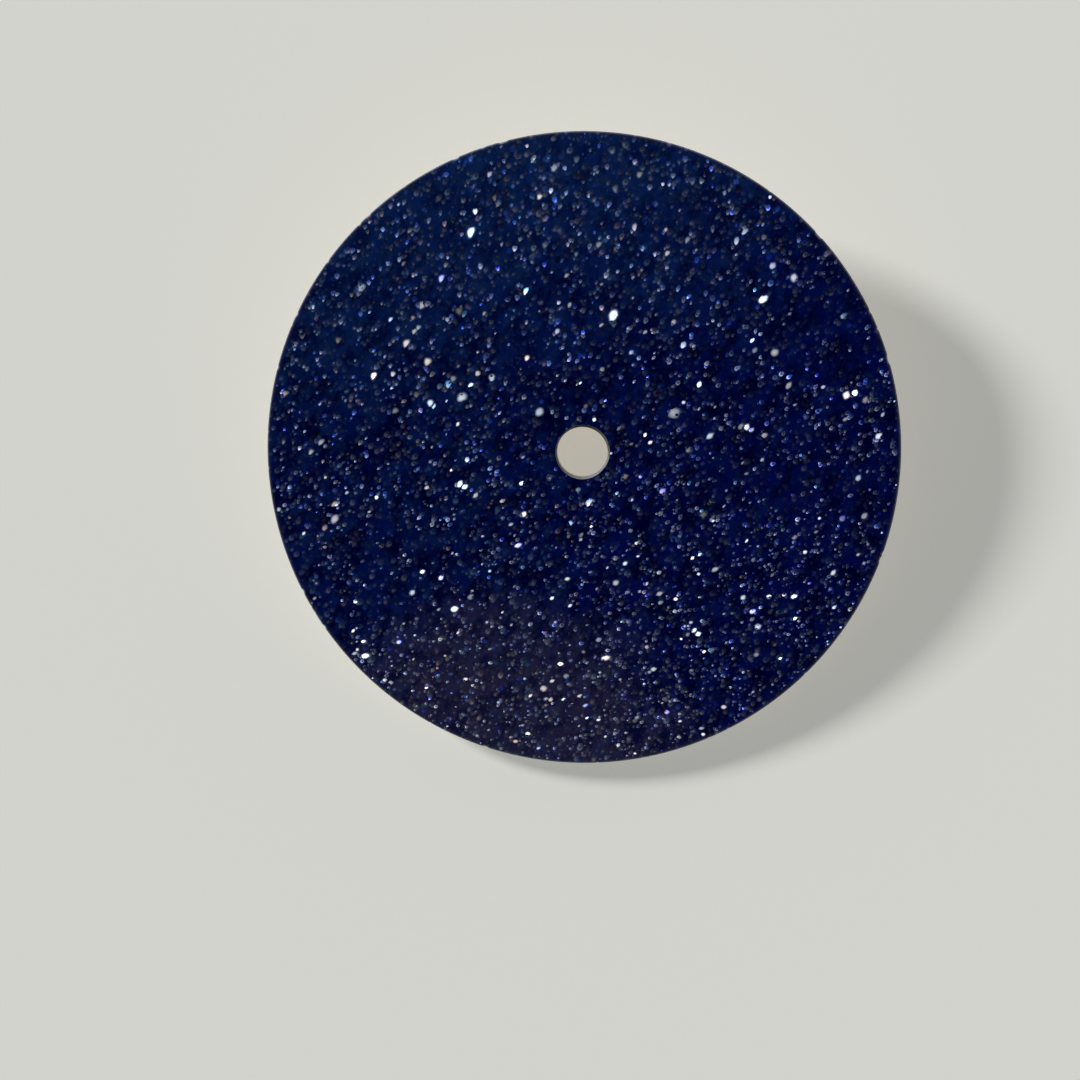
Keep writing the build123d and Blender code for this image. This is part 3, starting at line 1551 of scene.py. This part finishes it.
@dataclass
class Stage:
    """The pale floor that the tilted dial rests on, the light and the background."""

    tilt: float
    drop: float
    half_width: float = 1.2
    floor: Colour = (0.655, 0.660, 0.620)
    floor_glow: float = 0.55
    key_bearing: float = -30.0
    key_height: float = 24.0
    key_strength: float = 2.98
    key_spread: float = 12.0
    sky: Colour = (1.0, 0.99, 0.97)
    sky_strength: float = 1.1
    sky_fall: float = 6.0
    under_travel: Triple = (0.15, 0.1, 1.0)
    under_strength: float = 0.12
    under_spread: float = 60.0

    def up(self) -> Vector:
        """The floor's upward normal."""
        return Vector((0.0, math.sin(self.tilt), math.cos(self.tilt)))

    def ahead(self) -> Vector:
        """The floor's direction under the dial's +Y."""
        return Vector((0.0, math.cos(self.tilt), -math.sin(self.tilt)))

    def floor_material(self) -> bpy.types.Material:
        """The floor's matt finish, which glows a little where it is seen directly.

        It is open from behind and to shadow rays, so that the dial's back can be seen and
        the light from below gets by.

        Returns:
            The material.
        """
        surface = Surface("pale_floor")
        path = surface.node("ShaderNodeLightPath")
        kinds = ("Camera Ray", "Glossy Ray", "Transmission Ray", "Shadow Ray")
        camera, glossy, through, shadow = (
            Value(surface, path.outputs[f"Is {kind}"]) for kind in kinds
        )
        direct = Value(surface, path.outputs["Diffuse Depth"]) < 0.5
        back = Value(surface, surface.node("ShaderNodeNewGeometry").outputs["Backfacing"])
        seen = (camera + glossy + through).held() * direct
        paint = {"Color": whole(self.floor)}
        matt = surface.node("ShaderNodeBsdfDiffuse", None, paint).outputs[0]
        glow = {**paint, "Strength": self.floor_glow}
        light = surface.node("ShaderNodeEmission", None, glow).outputs[0]
        both = surface.node("ShaderNodeAddShader", None, {0: matt, 1: light}).outputs[0]
        gap = surface.node("ShaderNodeBsdfTransparent").outputs[0]
        shown = surface.blended(seen, matt, both)
        shader = surface.blended(back.most(shadow), shown, gap)
        surface.node("ShaderNodeOutputMaterial", None, {"Surface": shader})
        return surface.material

    def add_floor(self) -> None:
        """Lays the floor under the dial, at the dial's tilt."""
        centre = self.up() * self.drop
        side, ahead = Vector((1, 0, 0)) * self.half_width, self.ahead() * self.half_width
        ends = centre - side, centre + side
        corners = [ends[0] - ahead, ends[1] - ahead, ends[1] + ahead, ends[0] + ahead]
        mesh = bpy.data.meshes.new("floor")
        mesh.from_pydata([tuple(corner) for corner in corners], [], [(0, 1, 2, 3)])
        mesh.materials.append(self.floor_material())
        new_piece("floor", mesh)

    def add_lamp(self, name: str, travel: Vector, strength: float, spread: float) -> None:
        """Adds one distant lamp.

        Args:
            name: The lamp's name.
            travel: The way its light goes.
            strength: Its strength.
            spread: How wide it looks, in degrees.
        """
        light = bpy.data.lights.new(name, "SUN")
        light.energy = strength
        light.angle = math.radians(spread)
        lamp = bpy.data.objects.new(name, light)
        lamp.rotation_mode = "QUATERNION"
        lamp.rotation_quaternion = travel.to_track_quat("-Z", "Y")
        bpy.context.scene.collection.objects.link(lamp)

    def add_lamps(self) -> None:
        """Adds the low key light and the soft light from below, which the floor lets by."""
        bearing, height = math.radians(self.key_bearing), math.radians(self.key_height)
        along = Vector((1, 0, 0)) * math.cos(bearing) + self.ahead() * math.sin(bearing)
        travel = along * math.cos(height) - self.up() * math.sin(height)
        self.add_lamp("key_light", travel, self.key_strength, self.key_spread)
        below = Vector(self.under_travel).normalized()
        self.add_lamp("under_light", below, self.under_strength, self.under_spread)

    def add_sky(self) -> None:
        """A soft surround, bright at the sides and dark overhead, on a pale background."""
        world = bpy.data.worlds.new("surround")
        bpy.context.scene.world = world
        world.use_nodes = True
        tree = Tree(world.node_tree)
        _, _, height = tree.parts(tree.node("ShaderNodeTexCoord").outputs["Generated"])
        level = (1.0 - height.most(0.0)) ** self.sky_fall
        dark, bright, pale = (
            tree.node("ShaderNodeBackground", None, light).outputs[0]
            for light in (
                {"Strength": 0.0},
                {"Color": whole(self.sky), "Strength": self.sky_strength},
                {"Color": whole(self.floor)},
            )
        )
        camera = tree.node("ShaderNodeLightPath").outputs["Is Camera Ray"]
        shown = tree.blended(camera, tree.blended(level, dark, bright), pale)
        tree.node("ShaderNodeOutputWorld", None, {"Surface": shown})

    def build(self) -> None:
        """Sets the whole stage."""
        self.add_floor()
        self.add_lamps()
        self.add_sky()
        LOG.info("set the stage, tilted by %.2f degrees", math.degrees(self.tilt))


@dataclass
class PhotographCamera:
    """The camera that took the photograph, worked out from the rim's and hole's ellipses."""

    lens_mm: float = 75.0
    sensor_mm: float = 36.0
    turn_x: float = 7.24
    turn_y: float = -2.88
    offset: Triple = (1.94 * MM, 4.04 * MM, -102.01 * MM)
    nearest: float = 1 * MM
    farthest: float = 10.0

    def build(self) -> None:
        """Makes the camera and gives it to the scene."""
        about_y = Matrix.Rotation(math.radians(self.turn_y), 3, "Y")
        about_x = Matrix.Rotation(math.radians(self.turn_x), 3, "X")
        back = (about_y @ about_x).transposed()
        data = bpy.data.cameras.new("camera")
        data.lens = self.lens_mm
        data.sensor_width = self.sensor_mm
        data.clip_start = self.nearest
        data.clip_end = self.farthest
        camera = bpy.data.objects.new("camera", data)
        camera.rotation_mode = "QUATERNION"
        camera.location = -(back @ Vector(self.offset))
        camera.rotation_quaternion = back.to_quaternion()
        bpy.context.scene.collection.objects.link(camera)
        bpy.context.scene.camera = camera
        LOG.info("camera at %s", tuple(round(c, 4) for c in camera.location))


def stage_under_dial() -> Stage:
    """The stage whose floor touches the dial's lower rim and the tips of its feet.

    Returns:
        The stage.
    """
    foot_low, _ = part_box(Node.FOOT_LEFT.value)
    plate_low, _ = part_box(Node.PLATE.value)
    plate_edge_round, foot_tip_edge = 0.06 * MM, 0.82 * MM
    rim_rest = plate_low.y + plate_edge_round
    tilt = math.atan2(-foot_low.z, foot_tip_edge - rim_rest)
    return Stage(tilt=tilt, drop=rim_rest * math.sin(tilt))


def main() -> None:
    """Builds the dial, the stage and the camera."""
    logging.basicConfig(level=logging.INFO, format="%(name)s: %(message)s")
    low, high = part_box(Node.GLASS.value)
    hole, sunk, gap = 1.15 * MM, 0.004 * MM, 0.0005 * MM
    deep_glass = DeepGlass(dial_radius=high.x)
    outer = min(-low.x, high.x, -low.y, high.y)
    glass = GlassDisc(outer=outer, hole=hole, low=low.z, face=high.z - sunk)
    glass.build(AventurineFinish(deep_glass))
    platelets = PlateletField(outer=outer, hole=hole, low=glass.face + gap, high=high.z)
    platelets.build(PlateletFinish(deep_glass))
    DialBack().build()
    stage_under_dial().build()
    PhotographCamera().build()
    bpy.context.scene.view_settings.view_transform = "Standard"


if __name__ == "__main__":
    main()
